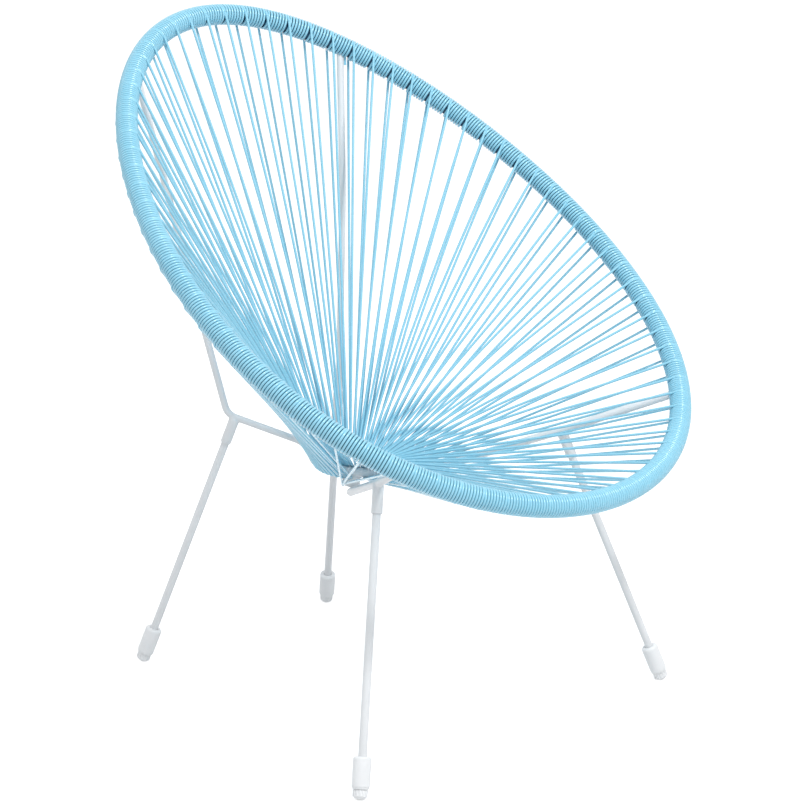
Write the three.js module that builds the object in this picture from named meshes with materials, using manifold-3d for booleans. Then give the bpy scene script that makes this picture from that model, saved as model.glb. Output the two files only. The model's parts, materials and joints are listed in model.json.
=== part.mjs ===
// A string lounge chair: a tilted egg-shaped steel hoop bound with cord, a seat shell of straight taut
// cords that run from the hoop to a small oval ring under the seat, a bent stay and a front arm on each
// side that carry the ring, and four splayed legs with plastic sleeves and levelling glides.
// Millimetres, +Z up, the chair faces -Y, X = 0 is the mirror plane and the floor is Z = 0.
import * as THREE from "three";
import { mergeVertices } from "three/addons/utils/BufferGeometryUtils.js";
import Module from "manifold-3d";

const wasm = await Module();
wasm.setup();

// Clearances.
const TOUCH_GAP = 0.3;

// The whole chair is moved along Y by this, so that its box is centred on the origin.
const PLACE_Y = -0.6;

// Hoop: an egg-shaped curve in a plane that leans back, bent up a little at its two ends.
const HOOP_HALF_WIDTH = 330.8;
const HOOP_HALF_LENGTH = 428.6;
const HOOP_EGG_SHARE = -0.106;
const HOOP_END_RISE = 10.9;
const HOOP_LEAN = THREE.MathUtils.degToRad(35.7);
const HOOP_CENTRE_Z = 577.3;
const HOOP_TUBE_D = 20;
const HOOP_STEPS = 56;
const HOOP_SIDES = 8;

// Cord, and how it is laid: each station sends one cord over the front of the hoop and one from behind.
// The arm, the stay and the tab under the ring are placed by a count of stations from the front middle.
// The stations are even between the front middle, the arm, the stay and the back middle.
const CORD_D = 3.5;
const CORD_SIDES = 5;
const STATIONS = 80;
const FANS = 10;
const ARM_STATION_COUNT = 10;
const STAY_STATION_COUNT = 34;
const TAB_STATION_COUNT = 14;
const ARM_PLACE_SHARE = 0.23256;
const STAY_PLACE_SHARE = 0.83721;

// A stretch of the hoop's winding made turn by turn; the rest of the winding is a plain skin.
const TURNS = 16;
const TURN_STEPS = 12;
const TURN_GAP = 0.65;

// Hub ring under the seat.
const RING_HALF_WIDTH = 44.7;
const RING_HALF_LENGTH = 54.6;
const RING_CENTRE_Y = 72.5;
const RING_CENTRE_Z = 292;
const RING_TUBE_D = 12;
const RING_SIDES = 8;
const RING_STEPS = 30;
const BINDING_WALL = 3;
const BINDING_SIDES = 6;
const INNER_CORD_LIFT = THREE.MathUtils.degToRad(25);
const OUTER_CORD_DROP = THREE.MathUtils.degToRad(35);

// Front arms: straight tubes from the hoop, over the front leg sockets, to the ring.
const ARM_D = 10.4;
const ARM_END_DROP = 27;
const ARM_JOINT_SHARE = 0.407;
const ARM_JOINT_DROP = 3.3;
const ARM_STEPS = 8;
const TAB_LENGTH_SHARE = 0.46;
const TAB_FOOT_RISE = 4;
const TAB_THICKNESS = 4;

// Back stays: one bent rod each, from the back of the hoop, down to a heel, forward to a toe and under the
// ring. The heel is given by its place, the rest by shares of the way or by steps from the ring.
const STAY_D = 9;
const STAY_HEEL_X = 98.4;
const STAY_HEEL_Y = 212.3;
const STAY_HEEL_Z = 345.5;
const STAY_MID_SHARE = 0.421;
const STAY_LOW_SHARE = 0.942;
const STAY_BOW_X = 3.4;
const STAY_BOW_Y = -2.7;
const STAY_TOE_SIDE = 8.6;
const STAY_TOE_BACK = 23.4;
const STAY_TOE_RISE = 25;
const STAY_RING_ANGLE = THREE.MathUtils.degToRad(70);
const STAY_STEPS = 34;
const STAY_SIDES = 8;
const HEEL_BEND = 12;
const TOE_BEND = 16;
const CORD_END_DROP = 20.4;
const CORD_END_LENGTH = 9;

// Legs: how far each foot stands out from the joint at the leg's top.
const FRONT_SPREAD_X = 111.9;
const FRONT_SPREAD_Y = -83.35;
const REAR_SPREAD_X = 76.3;
const REAR_SPREAD_Y = 109.7;
const REAR_JOINT_SHARE = 0.1;
const LEG_D = 10.2;
const LEG_WALL = 1.2;
const LEG_TOP_CLEARANCE = 4;
const SOCKET_D = 13.6;
const SOCKET_LENGTH = 31;
const SOCKET_TOP_CLEARANCE = 2;

// Feet.
const SLEEVE_D = 21.6;
const SLEEVE_LENGTH = 38;
const SLEEVE_SHOULDER = 4;
const SLEEVE_EDGE = 0.8;
const SLEEVE_FLOOR = 11;
const GLIDE_D = 18;
const GLIDE_GROOVE_D = 16.4;
const GLIDE_FLUTES = 14;
const GLIDE_COLLAR = 7.4;
const GLIDE_DOME = 4.4;
const GLIDE_FLAT_DEPTH = 0.4;
const STUD_D = 8;
const STUD_LENGTH = 9;
const ROUND_STEPS = 12;

// Colours and surfaces.
const CORD_BLUE = { color: 0x7cc4e6, roughness: 0.32, metalness: 0 };
const FRAME_GREY = { color: 0xd3d5d8, roughness: 0.42, metalness: 0.1 };
const FOOT_WHITE = { color: 0xdcdde0, roughness: 0.5, metalness: 0 };

// Solids: a closed geometry goes in, joins and cuts happen, and a geometry comes out.
function solid(geometry) {
  const bare = geometry.clone();
  for (const name of Object.keys(bare.attributes)) {
    if (name !== "position") bare.deleteAttribute(name);
  }
  const merged = mergeVertices(bare, 1e-3);
  const made = new wasm.Manifold(
    new wasm.Mesh({
      numProp: 3,
      vertProperties: new Float32Array(merged.attributes.position.array),
      triVerts: new Uint32Array(merged.index.array),
    }),
  );
  return made;
}

function geometryOf(made) {
  const mesh = made.getMesh();
  const geometry = new THREE.BufferGeometry();
  geometry.setAttribute("position", new THREE.BufferAttribute(mesh.vertProperties, mesh.numProp));
  geometry.setIndex(new THREE.BufferAttribute(mesh.triVerts, 1));
  geometry.computeVertexNormals();
  return geometry;
}

function joined(solids) {
  return solids.reduce((whole, next) => whole.add(next));
}

const group = new THREE.Group();

function addMesh(name, made, look) {
  const mesh = new THREE.Mesh(geometryOf(made), new THREE.MeshStandardMaterial(look));
  mesh.name = name;
  group.add(mesh);
  return mesh;
}

const vec = (x, y, z) => new THREE.Vector3(x, y, z);
const onSide = (side, point) => vec(side * point.x, point.y, point.z);

// The hoop's centre line. t runs from the front middle (-90 degrees) past +X to the back (+90 degrees).
const FRONT_ANGLE = -Math.PI / 2;
const hoopCentreY = HOOP_END_RISE * Math.sin(HOOP_LEAN);

function hoopPoint(t) {
  const across = HOOP_HALF_WIDTH * Math.cos(t) * (1 + HOOP_EGG_SHARE * Math.sin(t));
  const along = HOOP_HALF_LENGTH * Math.sin(t);
  const rise = HOOP_END_RISE * Math.sin(t) ** 2;
  return vec(
    across,
    hoopCentreY + along * Math.cos(HOOP_LEAN) - rise * Math.sin(HOOP_LEAN),
    HOOP_CENTRE_Z + along * Math.sin(HOOP_LEAN) + rise * Math.cos(HOOP_LEAN),
  );
}

const hoopNormal = vec(0, -Math.sin(HOOP_LEAN), Math.cos(HOOP_LEAN));

// Angles of points along the hoop, found by walking round it from the front middle in fine steps.
const WALK = 3600;
const walkAngle = (step) => FRONT_ANGLE + (2 * Math.PI * step) / WALK;
const walked = [0];
for (let step = 1; step <= WALK; step++) {
  const stride = hoopPoint(walkAngle(step)).distanceTo(hoopPoint(walkAngle(step - 1)));
  walked.push(walked[step - 1] + stride);
}
const hoopLength = walked[WALK];

function angleAt(share) {
  const wanted = share * hoopLength;
  const step = Math.min(WALK - 1, Math.max(0, walked.findIndex((length) => length > wanted) - 1));
  return walkAngle(step + (wanted - walked[step]) / (walked[step + 1] - walked[step]));
}

const evenAngles = (count) => Array.from({ length: count }, (_, k) => angleAt(k / count));

// How far round the hoop a count of stations reaches, as a share of the hoop's length.
function stationShare(count) {
  const turned = (count + STATIONS) % STATIONS;
  const counted = Math.min(turned, STATIONS - turned);
  const even = THREE.MathUtils.mapLinear;
  let place = even(counted, STAY_STATION_COUNT, STATIONS / 2, STAY_PLACE_SHARE, 1);
  if (counted <= ARM_STATION_COUNT) {
    place = even(counted, 0, ARM_STATION_COUNT, 0, ARM_PLACE_SHARE);
  } else if (counted <= STAY_STATION_COUNT) {
    place = even(counted, ARM_STATION_COUNT, STAY_STATION_COUNT, ARM_PLACE_SHARE, STAY_PLACE_SHARE);
  }
  return turned <= STATIONS / 2 ? place / 2 : 1 - place / 2;
}

const boundaryAngle = (k) => angleAt(stationShare(k));
const stationAngle = (k) => angleAt(stationShare(k + 0.5));

// The centre line as the straight steps that the faceted tube really has, with a frame at each step.
function steppedLine(pointAt, angles, normal) {
  const count = angles.length;
  const points = angles.map(pointAt);
  const frames = points.map((point, i) => {
    const tangent = points[(i + 1) % count].clone().sub(points[(i + count - 1) % count]).normalize();
    const out = tangent.clone().cross(normal).normalize();
    const up = out.clone().cross(tangent).normalize();
    return { point, tangent, out, up };
  });
  const at = (place) => {
    const i = Math.floor(place);
    const part = place - i;
    const a = frames[((i % count) + count) % count];
    const b = frames[(((i + 1) % count) + count) % count];
    return {
      point: a.point.clone().lerp(b.point, part),
      tangent: a.tangent.clone().lerp(b.tangent, part).normalize(),
      out: a.out.clone().lerp(b.out, part).normalize(),
      up: a.up.clone().lerp(b.up, part).normalize(),
    };
  };
  return { frames, at, count };
}

const hoopLine = steppedLine(hoopPoint, evenAngles(HOOP_STEPS), hoopNormal);

// A closed ring of tube: a torus whose vertices are moved onto the stepped line.
function ringTube(line, radius, sides) {
  const geometry = new THREE.TorusGeometry(2 * radius, radius, sides, line.count);
  const position = geometry.attributes.position;
  for (let j = 0; j <= sides; j++) {
    const around = (2 * Math.PI * (j % sides)) / sides;
    for (let i = 0; i <= line.count; i++) {
      const frame = line.frames[i % line.count];
      const place = frame.point
        .clone()
        .addScaledVector(frame.out, radius * Math.cos(around))
        .addScaledVector(frame.up, radius * Math.sin(around));
      position.setXYZ(j * (line.count + 1) + i, place.x, place.y, place.z);
    }
  }
  return solid(geometry);
}

// A tube along an open curve, and a straight round bar between two points.
function tubeAlong(curve, radius, sides, steps) {
  const outline = [];
  for (let i = 0; i < sides; i++) {
    const around = (2 * Math.PI * i) / sides;
    outline.push(new THREE.Vector2(radius * Math.cos(around), radius * Math.sin(around)));
  }
  const shape = new THREE.Shape(outline);
  return solid(new THREE.ExtrudeGeometry(shape, { steps, extrudePath: curve, bevelEnabled: false }));
}

function barBetween(from, to, radius, sides) {
  const along = to.clone().sub(from);
  const geometry = new THREE.CylinderGeometry(radius, radius, along.length(), sides);
  const turn = new THREE.Quaternion().setFromUnitVectors(vec(0, 1, 0), along.clone().normalize());
  geometry.applyQuaternion(turn);
  const middle = from.clone().add(to).multiplyScalar(0.5);
  geometry.translate(middle.x, middle.y, middle.z);
  return solid(geometry);
}

// A turned piece: the profile's points are [radius, distance along the axis] from the given place.
function turned(profile, steps, from, direction) {
  const geometry = new THREE.LatheGeometry(profile.map(([r, a]) => new THREE.Vector2(r, a)), steps);
  geometry.applyQuaternion(new THREE.Quaternion().setFromUnitVectors(vec(0, 1, 0), direction));
  geometry.translate(from.x, from.y, from.z);
  return solid(geometry);
}

// A box that covers everything on one side of the chair, from a plane outwards.
const REACH = 4 * HOOP_HALF_LENGTH;

function boxSpan(low, high) {
  const size = high.clone().sub(low);
  const middle = high.clone().add(low).multiplyScalar(0.5);
  const geometry = new THREE.BoxGeometry(size.x, size.y, size.z);
  geometry.translate(middle.x, middle.y, middle.z);
  return solid(geometry);
}

const hoopRadius = HOOP_TUBE_D / 2;
const cordRadius = CORD_D / 2;
const windingLine = hoopRadius + TOUCH_GAP + cordRadius;
const boundRadius = windingLine + cordRadius;
const laidRadius = boundRadius + TOUCH_GAP + cordRadius;
const ringRadius = RING_TUBE_D / 2;
const tabLength = TAB_LENGTH_SHARE * RING_HALF_LENGTH;
const ringCordRadius = ringRadius + TOUCH_GAP + cordRadius;
const armRadius = ARM_D / 2;
const stayRadius = STAY_D / 2;

// Hub ring, on the same angles as the hoop so that each cord meets it opposite its own station.
function ringPoint(t) {
  return vec(
    RING_HALF_WIDTH * Math.cos(t),
    RING_CENTRE_Y + RING_HALF_LENGTH * Math.sin(t),
    RING_CENTRE_Z,
  );
}

const ringAngles = [];
for (let k = 0; k < RING_STEPS; k++) {
  ringAngles.push(FRONT_ANGLE + (2 * Math.PI * k) / RING_STEPS);
}
const ringLine = steppedLine(ringPoint, ringAngles, vec(0, 0, 1));

// Front arms.
const armStart = hoopPoint(boundaryAngle(ARM_STATION_COUNT));
const armEnd = ringPoint(boundaryAngle(TAB_STATION_COUNT)).setZ(RING_CENTRE_Z - ARM_END_DROP);
const armJoint = armStart.clone().lerp(armEnd, ARM_JOINT_SHARE);
armJoint.z -= ARM_JOINT_DROP;

function armSolid(side, extra) {
  const points = [armStart, armJoint, armEnd].map((point) => onSide(side, point));
  return tubeAlong(new THREE.CatmullRomCurve3(points), armRadius + extra, STAY_SIDES, ARM_STEPS);
}

// Back stays. The corner at the heel and the one at the toe are rounded.
function rounded(before, corner, after, reach) {
  const towards = corner.clone().add(before.clone().sub(corner).setLength(reach));
  const away = corner.clone().add(after.clone().sub(corner).setLength(reach));
  return { towards, away, curve: new THREE.QuadraticBezierCurve3(towards, corner, away) };
}

const staySeat = ringPoint(STAY_RING_ANGLE).setZ(RING_CENTRE_Z - ringRadius - TOUCH_GAP - stayRadius);
const stayTop = hoopPoint(boundaryAngle(STAY_STATION_COUNT));
const stayHeel = vec(STAY_HEEL_X, STAY_HEEL_Y, STAY_HEEL_Z);
const stayMid = stayTop.clone().lerp(stayHeel, STAY_MID_SHARE).add(vec(STAY_BOW_X, STAY_BOW_Y, 0));
const stayLow = stayTop.clone().lerp(stayHeel, STAY_LOW_SHARE);
const stayToe = staySeat.clone().add(vec(STAY_TOE_SIDE, STAY_TOE_BACK, STAY_TOE_RISE));
const ringward = staySeat.clone().sub(stayToe).setZ(0).normalize();
const stayUnder = staySeat.clone().addScaledVector(ringward, -2.5 * stayRadius);
const stayEnd = staySeat.clone().addScaledVector(ringward, stayRadius);

function stayPath(side) {
  const top = onSide(side, stayTop);
  const mid = onSide(side, stayMid);
  const low = onSide(side, stayLow);
  const heel = onSide(side, stayHeel);
  const toe = onSide(side, stayToe);
  const under = onSide(side, stayUnder);
  const end = onSide(side, stayEnd);
  const heelTurn = rounded(low, heel, toe, HEEL_BEND);
  const toeTurn = rounded(heel, toe, under, TOE_BEND);
  const underTurn = rounded(toe, under, end, stayRadius);
  const points = [top, mid, low, heelTurn.towards, heelTurn.curve.getPoint(0.5), heelTurn.away];
  points.push(toeTurn.towards, toeTurn.curve.getPoint(0.5), toeTurn.away);
  points.push(underTurn.towards, underTurn.curve.getPoint(0.5), underTurn.away, end);
  return new THREE.CatmullRomCurve3(points, false, "centripetal");
}

const staySolid = (side, extra) => tubeAlong(stayPath(side), stayRadius + extra, STAY_SIDES, STAY_STEPS);

// What the hoop's steel and the ring's steel cut out of the pieces that are welded to them.
const hoopSteel = ringTube(hoopLine, hoopRadius, HOOP_SIDES);
const hoopClear = ringTube(hoopLine, hoopRadius + TOUCH_GAP, HOOP_SIDES);
const ringSteel = ringTube(ringLine, ringRadius, RING_SIDES);
const ringClear = ringTube(ringLine, ringRadius + TOUCH_GAP, RING_SIDES);

addMesh("hoop_tube", hoopSteel, FRAME_GREY);
addMesh("hub_ring", ringSteel, FRAME_GREY);

// Tabs that stand on the arms' lower ends and carry the ring, cut to both.
function tabSolid(side, extra) {
  const foot = onSide(side, armEnd);
  const height = ARM_END_DROP - TAB_FOOT_RISE;
  const geometry = new THREE.BoxGeometry(TAB_THICKNESS + 2 * extra, tabLength + 2 * extra, height);
  const along = Math.atan2(foot.x * RING_HALF_LENGTH ** 2, (foot.y - RING_CENTRE_Y) * RING_HALF_WIDTH ** 2);
  geometry.rotateZ(Math.PI / 2 - along);
  geometry.translate(foot.x, foot.y, RING_CENTRE_Z - height / 2);
  return solid(geometry);
}

const SIDES = [
  { name: "left", side: 1 },
  { name: "right", side: -1 },
];

const frameCutters = [];
const hubCutters = [];
for (const { name, side } of SIDES) {
  const arm = armSolid(side, 0).subtract(hoopClear);
  const armClear = armSolid(side, TOUCH_GAP);
  const stay = staySolid(side, 0).subtract(hoopClear);
  const stayClear = staySolid(side, TOUCH_GAP);
  addMesh(`front_arm_${name}`, arm, FRAME_GREY);
  addMesh(`back_stay_${name}`, stay, FRAME_GREY);
  addMesh(`ring_tab_${name}`, tabSolid(side, 0).subtract(armClear).subtract(ringClear), FRAME_GREY);
  frameCutters.push(armClear, stayClear);
  hubCutters.push(stayClear, tabSolid(side, TOUCH_GAP), armClear);
}

// Winding: a plain skin in a left and a right half, open where the arms and stays pass through it, and a
// stretch at the front made turn by turn.
const turnPitch = CORD_D + TURN_GAP;
const turnsLength = TURNS * turnPitch;
const skin = ringTube(hoopLine, boundRadius, HOOP_SIDES)
  .subtract(ringTube(hoopLine, hoopRadius + TOUCH_GAP, HOOP_SIDES))
  .subtract(joined(frameCutters));
const frontGap = turnsLength / 2 + CORD_D + TOUCH_GAP;
const frontBox = boxSpan(vec(-frontGap, -REACH, -REACH), vec(frontGap, 0, REACH));
for (const { name, side } of SIDES) {
  const edge = (side * TOUCH_GAP) / 2;
  const near = side > 0 ? vec(-REACH, -REACH, -REACH) : vec(edge, -REACH, -REACH);
  const far = side > 0 ? vec(edge, REACH, REACH) : vec(REACH, REACH, REACH);
  addMesh(`hoop_winding_${name}`, skin.subtract(boxSpan(near, far)).subtract(frontBox), CORD_BLUE);
}

// The turns: one unbroken tube that spirals round the hoop's stepped line.
function windingTurns() {
  const stepLength = hoopLength / HOOP_STEPS;
  const rings = TURNS * TURN_STEPS + 1;
  const centres = [];
  for (let k = 0; k < rings; k++) {
    const turn = k / TURN_STEPS;
    const frame = hoopLine.at((turn * turnPitch - turnsLength / 2) / stepLength);
    const around = 2 * Math.PI * turn;
    const radial = frame.out.clone().multiplyScalar(Math.cos(around));
    radial.addScaledVector(frame.up, Math.sin(around));
    const centre = frame.point.clone().addScaledVector(radial, windingLine);
    centres.push({ centre, radial, tangent: frame.tangent });
  }
  const positions = [];
  for (const { centre, radial, tangent } of centres) {
    for (let j = 0; j < CORD_SIDES; j++) {
      const angle = (2 * Math.PI * j) / CORD_SIDES;
      const place = centre
        .clone()
        .addScaledVector(radial, cordRadius * Math.cos(angle))
        .addScaledVector(tangent, cordRadius * Math.sin(angle));
      positions.push(place.x, place.y, place.z);
    }
  }
  const faces = [];
  for (let k = 0; k + 1 < rings; k++) {
    for (let j = 0; j < CORD_SIDES; j++) {
      const a = k * CORD_SIDES + j;
      const b = k * CORD_SIDES + ((j + 1) % CORD_SIDES);
      faces.push(a, b, a + CORD_SIDES, b, b + CORD_SIDES, a + CORD_SIDES);
    }
  }
  const lastRing = (rings - 1) * CORD_SIDES;
  for (let j = 1; j + 1 < CORD_SIDES; j++) {
    faces.push(0, j + 1, j, lastRing, lastRing + j, lastRing + j + 1);
  }
  let least = Infinity;
  for (let k = 0; k + TURN_STEPS < rings; k++) {
    for (let m = k + TURN_STEPS / 2; m < rings; m++) {
      least = Math.min(least, centres[k].centre.distanceTo(centres[m].centre) - CORD_D);
    }
  }
  console.log(`least gap between turns of the winding: ${least.toFixed(2)} mm`);
  const geometry = new THREE.BufferGeometry();
  geometry.setAttribute("position", new THREE.Float32BufferAttribute(positions, 3));
  geometry.setIndex(faces);
  return solid(geometry);
}

addMesh("hoop_winding_turns", windingTurns(), CORD_BLUE);

// Seat cords. At each station one cord runs from the front of the hoop to the top of the ring and another
// from behind the hoop to the underside of the ring. A fan is a run of stations with their share of the
// binding, which stands for the cord's turns round the ring.
function layOffset(frame, towards, distance, front) {
  const across = towards.clone().sub(frame.point);
  across.addScaledVector(frame.tangent, -across.dot(frame.tangent)).normalize();
  const side = frame.tangent.clone().cross(across).normalize();
  const sign = side.dot(hoopNormal) > 0 === front ? 1 : -1;
  return frame.point.clone().addScaledVector(side, sign * distance);
}

const stationFrame = (k) => hoopLine.at(stationShare(k + 0.5) * HOOP_STEPS);

function ringOutward(t) {
  return vec(Math.cos(t) / RING_HALF_WIDTH, Math.sin(t) / RING_HALF_LENGTH, 0).normalize();
}

// Where a cord lands on the ring's binding: turned up or down from the cord's own slope.
function landing(hubAngle, hoopAngle, turnedBy) {
  const centre = ringPoint(hubAngle);
  const outward = ringOutward(hubAngle);
  const run = hoopPoint(hoopAngle).sub(centre);
  const slope = Math.atan2(run.z, run.dot(outward)) + turnedBy;
  return centre.addScaledVector(outward, ringCordRadius * Math.cos(slope)).setZ(
    RING_CENTRE_Z + ringCordRadius * Math.sin(slope),
  );
}

function innerCord(k) {
  const t = stationAngle(k);
  const hub = landing(t, t, INNER_CORD_LIFT);
  return barBetween(hub, layOffset(stationFrame(k), hub, laidRadius, true), cordRadius, CORD_SIDES);
}

function outerCord(k) {
  const t = stationAngle(k);
  const hub = landing(t, t, -OUTER_CORD_DROP);
  return barBetween(hub, layOffset(stationFrame(k), hub, laidRadius, false), cordRadius, CORD_SIDES);
}

const binding = ringTube(ringLine, ringRadius + TOUCH_GAP + BINDING_WALL, BINDING_SIDES)
  .subtract(ringClear)
  .subtract(joined(hubCutters));

// The stretch of the ring between two angles, cut square to the ring's line like the cords that land there.
function wedge(from, to) {
  const corner = (t, reach) => {
    const place = ringPoint(t).addScaledVector(ringOutward(t), reach);
    return new THREE.Vector2(place.x, place.y);
  };
  const reach = RING_TUBE_D;
  const corners = [corner(from, -reach), corner(from, 2 * reach), corner(to, 2 * reach), corner(to, -reach)];
  const shape = new THREE.Shape(corners);
  const geometry = new THREE.ExtrudeGeometry(shape, { depth: 2 * reach, bevelEnabled: false });
  geometry.translate(0, 0, RING_CENTRE_Z - reach);
  return solid(geometry);
}

const bandMargin = (Math.PI / STATIONS) * 0.5;
const fanStart = (fan) => Math.round((fan * STATIONS) / FANS);
for (let fan = 0; fan < FANS; fan++) {
  const cords = [];
  for (let k = fanStart(fan); k < fanStart(fan + 1); k++) {
    cords.push(innerCord(k), outerCord(k));
  }
  const from = stationAngle(fanStart(fan));
  const to = stationAngle(fanStart(fan + 1) - 1);
  const band = binding.intersect(wedge(from - bandMargin, to + bandMargin));
  addMesh(`seat_cords_${String(fan + 1).padStart(2, "0")}`, joined([band, ...cords]), CORD_BLUE);
}

// The end of the cord, which comes out of the winding beside the left stay.
const stayDown = stayMid.clone().sub(stayTop).normalize();
const besideStay = hoopPoint(boundaryAngle(STAY_STATION_COUNT - 1)).sub(stayTop);
besideStay.addScaledVector(stayDown, -besideStay.dot(stayDown));
besideStay.setLength(stayRadius + TOUCH_GAP + cordRadius);
const endTop = stayTop.clone().addScaledVector(stayDown, CORD_END_DROP).add(besideStay);
const endTip = endTop.clone().addScaledVector(stayDown, CORD_END_LENGTH);
addMesh("cord_knot_left", barBetween(endTop, endTip, cordRadius, 2 * CORD_SIDES), CORD_BLUE);

// Legs: a socket under the arm or the stay's heel, a tube, a sleeve and a glide, all on one axis.
const domeRadius = ((GLIDE_D / 2) ** 2 + GLIDE_DOME ** 2) / (2 * GLIDE_DOME);
const sleeveStart = GLIDE_COLLAR + TOUCH_GAP;
const legStart = sleeveStart + SLEEVE_FLOOR + TOUCH_GAP;

// A glide: a dome, a fluted collar that fingers turn, and a stud that goes up into the sleeve.
const DOME_STEPS = 4;

function glideSolid(start, axis) {
  const dome = [[0, -GLIDE_DOME]];
  const domeAngle = Math.asin(GLIDE_GROOVE_D / 2 / domeRadius);
  for (let i = 1; i <= DOME_STEPS; i++) {
    const angle = (domeAngle * i) / DOME_STEPS;
    dome.push([domeRadius * Math.sin(angle), domeRadius * (1 - Math.cos(angle)) - GLIDE_DOME]);
  }
  dome.push([GLIDE_GROOVE_D / 2, TOUCH_GAP], [0, TOUCH_GAP]);
  const outline = [];
  for (let i = 0; i < 2 * GLIDE_FLUTES; i++) {
    const angle = (Math.PI * i) / GLIDE_FLUTES;
    const radius = (i % 2 === 0 ? GLIDE_D : GLIDE_GROOVE_D) / 2;
    outline.push(new THREE.Vector2(radius * Math.cos(angle), radius * Math.sin(angle)));
  }
  const star = new THREE.Shape(outline);
  const collar = new THREE.ExtrudeGeometry(star, { depth: GLIDE_COLLAR, bevelEnabled: false });
  collar.applyQuaternion(new THREE.Quaternion().setFromUnitVectors(vec(0, 0, 1), axis));
  collar.translate(start.x, start.y, start.z);
  const stud = [[0, GLIDE_COLLAR / 2], [STUD_D / 2, GLIDE_COLLAR / 2]];
  stud.push([STUD_D / 2, GLIDE_COLLAR + STUD_LENGTH], [0, GLIDE_COLLAR + STUD_LENGTH]);
  const rounds = [dome, stud].map((profile) => turned(profile, ROUND_STEPS, start, axis));
  return joined([solid(collar), ...rounds]);
}

function sleeveProfile() {
  const bore = LEG_D / 2 + TOUCH_GAP;
  const studBore = STUD_D / 2 + TOUCH_GAP;
  const outer = SLEEVE_D / 2;
  const top = sleeveStart + SLEEVE_LENGTH;
  return [
    [studBore, sleeveStart],
    [outer - SLEEVE_EDGE, sleeveStart],
    [outer, sleeveStart + SLEEVE_EDGE],
    [outer, top - SLEEVE_SHOULDER],
    [outer - SLEEVE_SHOULDER * (1 - Math.SQRT1_2), top - SLEEVE_SHOULDER * (1 - Math.SQRT1_2)],
    [outer - SLEEVE_SHOULDER, top],
    [bore, top],
    [bore, sleeveStart + SLEEVE_FLOOR],
    [studBore, sleeveStart + SLEEVE_FLOOR],
    [studBore, sleeveStart],
  ];
}

const tubeProfile = (inner, outer, from, to) => [
  [inner, from],
  [outer, from],
  [outer, to],
  [inner, to],
  [inner, from],
];

const rearJoint = stayHeel.clone().lerp(stayToe, REAR_JOINT_SHARE);
const frontFoot = vec(armJoint.x + FRONT_SPREAD_X, armJoint.y + FRONT_SPREAD_Y, 0);
const rearFoot = vec(rearJoint.x + REAR_SPREAD_X, rearJoint.y + REAR_SPREAD_Y, 0);
const floorBox = boxSpan(vec(-REACH, -REACH, -REACH), vec(REACH, REACH, 0));

for (const { name, side } of SIDES) {
  const legs = [
    { end: "front", foot: frontFoot, joint: armJoint, cutter: armSolid(side, TOUCH_GAP) },
    { end: "rear", foot: rearFoot, joint: rearJoint, cutter: staySolid(side, TOUCH_GAP) },
  ];
  for (const { end, foot, joint, cutter } of legs) {
    const low = onSide(side, foot);
    const axis = onSide(side, joint).sub(low).normalize();
    const lift = (domeRadius - GLIDE_FLAT_DEPTH) / axis.z - (domeRadius - GLIDE_DOME);
    const start = low.clone().addScaledVector(axis, lift);
    const reach = onSide(side, joint).distanceTo(start);
    const socketTop = reach - SOCKET_TOP_CLEARANCE;
    const socket = tubeProfile(LEG_D / 2 + TOUCH_GAP, SOCKET_D / 2, reach - SOCKET_LENGTH, socketTop);
    const legTop = reach - armRadius - LEG_TOP_CLEARANCE;
    const leg = tubeProfile(LEG_D / 2 - LEG_WALL, LEG_D / 2, legStart, legTop);
    const tag = `${end}_${name}`;
    addMesh(`leg_socket_${tag}`, turned(socket, ROUND_STEPS, start, axis).subtract(cutter), FRAME_GREY);
    addMesh(`leg_${tag}`, turned(leg, ROUND_STEPS, start, axis), FRAME_GREY);
    addMesh(`foot_sleeve_${tag}`, turned(sleeveProfile(), ROUND_STEPS, start, axis), FOOT_WHITE);
    addMesh(`glide_${tag}`, glideSolid(start, axis).subtract(floorBox), FOOT_WHITE);
  }
}

group.position.y = PLACE_Y;

export default group;
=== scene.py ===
# %% [markdown]
# # A string lounge chair
# The chair is a steel hoop that leans back, bound all round with pale blue plastic cord. The same cord
# runs from the hoop to a small ring under the seat and back again, and so makes the seat. Thin white
# tubes carry the hoop and the ring, and four splayed legs stand on adjustable plastic feet.
#
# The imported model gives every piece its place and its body. This lesson dresses it: it winds the real
# cord, turn by turn, and makes the tubes, welds and feet smooth. The first cell loads the model.

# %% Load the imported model
import json
import math

import bpy
import numpy as np
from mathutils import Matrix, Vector


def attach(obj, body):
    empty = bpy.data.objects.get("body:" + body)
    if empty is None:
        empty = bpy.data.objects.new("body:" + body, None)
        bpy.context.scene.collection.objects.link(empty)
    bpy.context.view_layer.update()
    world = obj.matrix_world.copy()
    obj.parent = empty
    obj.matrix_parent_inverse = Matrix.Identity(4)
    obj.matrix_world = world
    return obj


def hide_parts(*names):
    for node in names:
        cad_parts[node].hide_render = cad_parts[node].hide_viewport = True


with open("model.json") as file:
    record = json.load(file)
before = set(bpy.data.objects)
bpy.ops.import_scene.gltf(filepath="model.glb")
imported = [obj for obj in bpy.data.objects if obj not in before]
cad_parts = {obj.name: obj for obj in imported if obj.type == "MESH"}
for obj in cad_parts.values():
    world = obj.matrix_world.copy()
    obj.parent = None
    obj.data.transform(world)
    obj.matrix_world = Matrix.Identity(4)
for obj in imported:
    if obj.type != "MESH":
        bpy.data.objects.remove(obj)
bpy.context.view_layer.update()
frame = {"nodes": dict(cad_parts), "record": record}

# %% [markdown]
# ## The camera
# The photograph is taken from the chair's right front, a little above the seat, from about three metres
# and through a long lens, so lines that are parallel stay nearly parallel. A camera could be placed by
# eye. Here it stands at the angles, distance and lens that were worked out from the picture, because
# everything that follows is judged through it. PLACE_Y is the small step that puts the middle of the
# chair's depth on the origin.

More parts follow.
